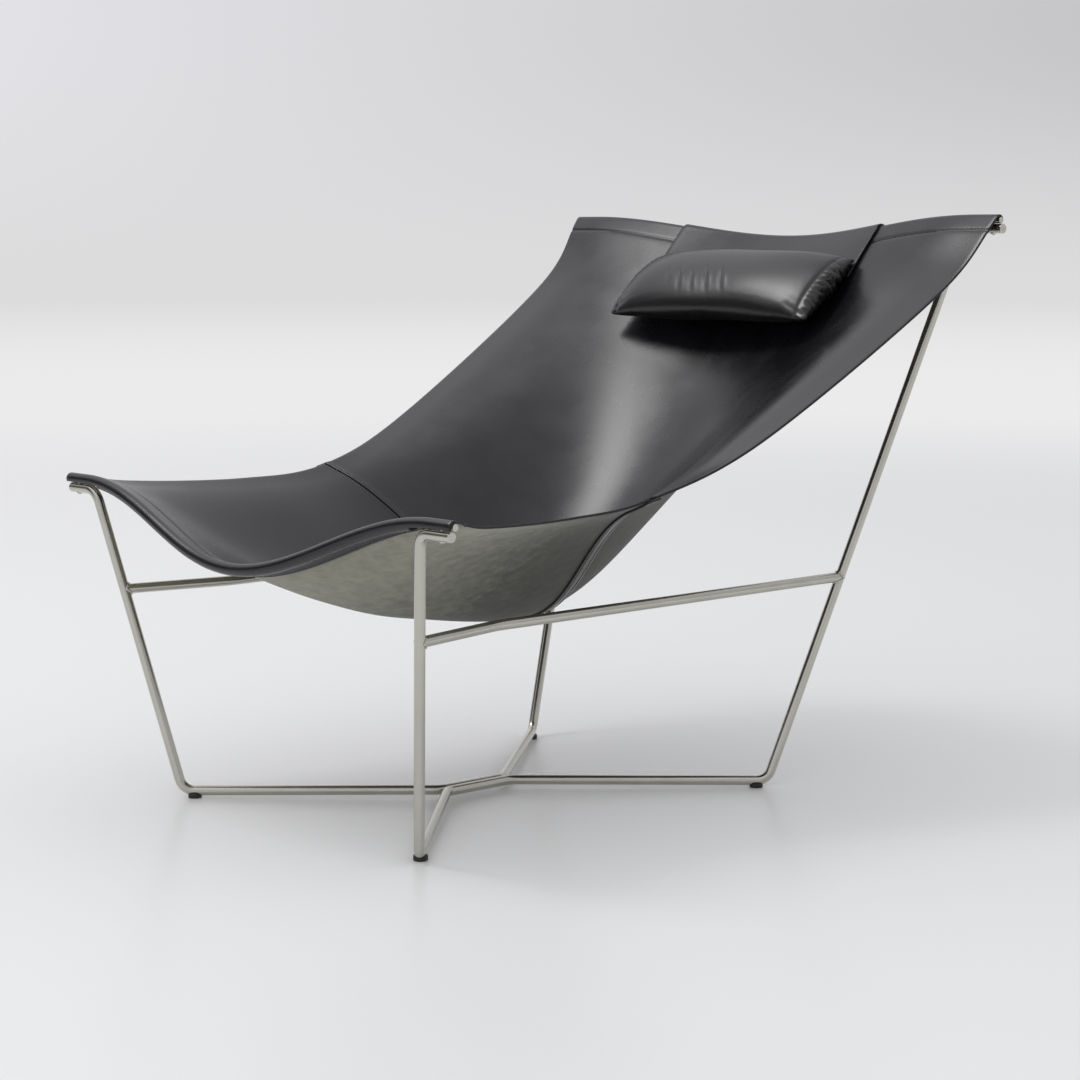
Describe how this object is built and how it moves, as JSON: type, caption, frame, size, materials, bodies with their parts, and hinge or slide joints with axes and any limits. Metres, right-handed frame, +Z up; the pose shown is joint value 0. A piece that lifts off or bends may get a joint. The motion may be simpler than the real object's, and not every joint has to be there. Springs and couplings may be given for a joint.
{
  "type": "sling lounge chair",
  "caption": "Low lounge chair: a black leather sling hung by its hems from a welded steel rod frame, with a counterweighted head cushion that slides down the back.",
  "frame": {"origin": "on the floor under the middle of the chair's bounding box", "axes": "+X to the sitter's left, +Y from the front edge to the back, +Z up"},
  "size_m": [0.876, 1.0868, 0.8111],
  "materials": {
    "satin_steel": "satin",
    "glide_nylon": "matte",
    "sling_leather": "smooth black grain side, olive grey flesh side",
    "cushion_leather": "semi-gloss black"
  },
  "bodies": {
    "chair": {"frame_bar_left": "satin_steel", "frame_bar_right": "satin_steel", "stretcher_left": "satin_steel", "stretcher_right": "satin_steel", "spine_weld": "satin_steel", "glide_front_left": "glide_nylon", "glide_front_right": "glide_nylon", "glide_back_left": "glide_nylon", "glide_back_right": "glide_nylon", "front_hem_rod": "satin_steel", "top_hem_rod": "satin_steel", "hook_screw_front_left": "satin_steel", "hook_screw_front_right": "satin_steel", "hook_screw_back_left": "satin_steel", "hook_screw_back_right": "satin_steel", "seat_hide": "sling_leather", "back_hide": "sling_leather", "seam_welt": "sling_leather", "headrest_strap": "sling_leather"},
    "headrest": {"head_cushion": "cushion_leather"},
    "counterweight": {"counterweight_pouch": "sling_leather", "counterweight_bar": "satin_steel"}
  },
  "joints": [
    {"name": "headrest_slide", "type": "slide", "parent": "chair", "child": "headrest", "axis": [0, -0.6668, -0.7452], "range_m": [-0.01, 0.035]},
    {"name": "counterweight_slide", "type": "slide", "parent": "chair", "child": "counterweight", "axis": [0, 0, 1], "range_m": [-0.01, 0.035]}
  ],
  "couplings": [
    {"joint": "counterweight_slide", "follows": "headrest_slide", "ratio": 1}
  ]
}
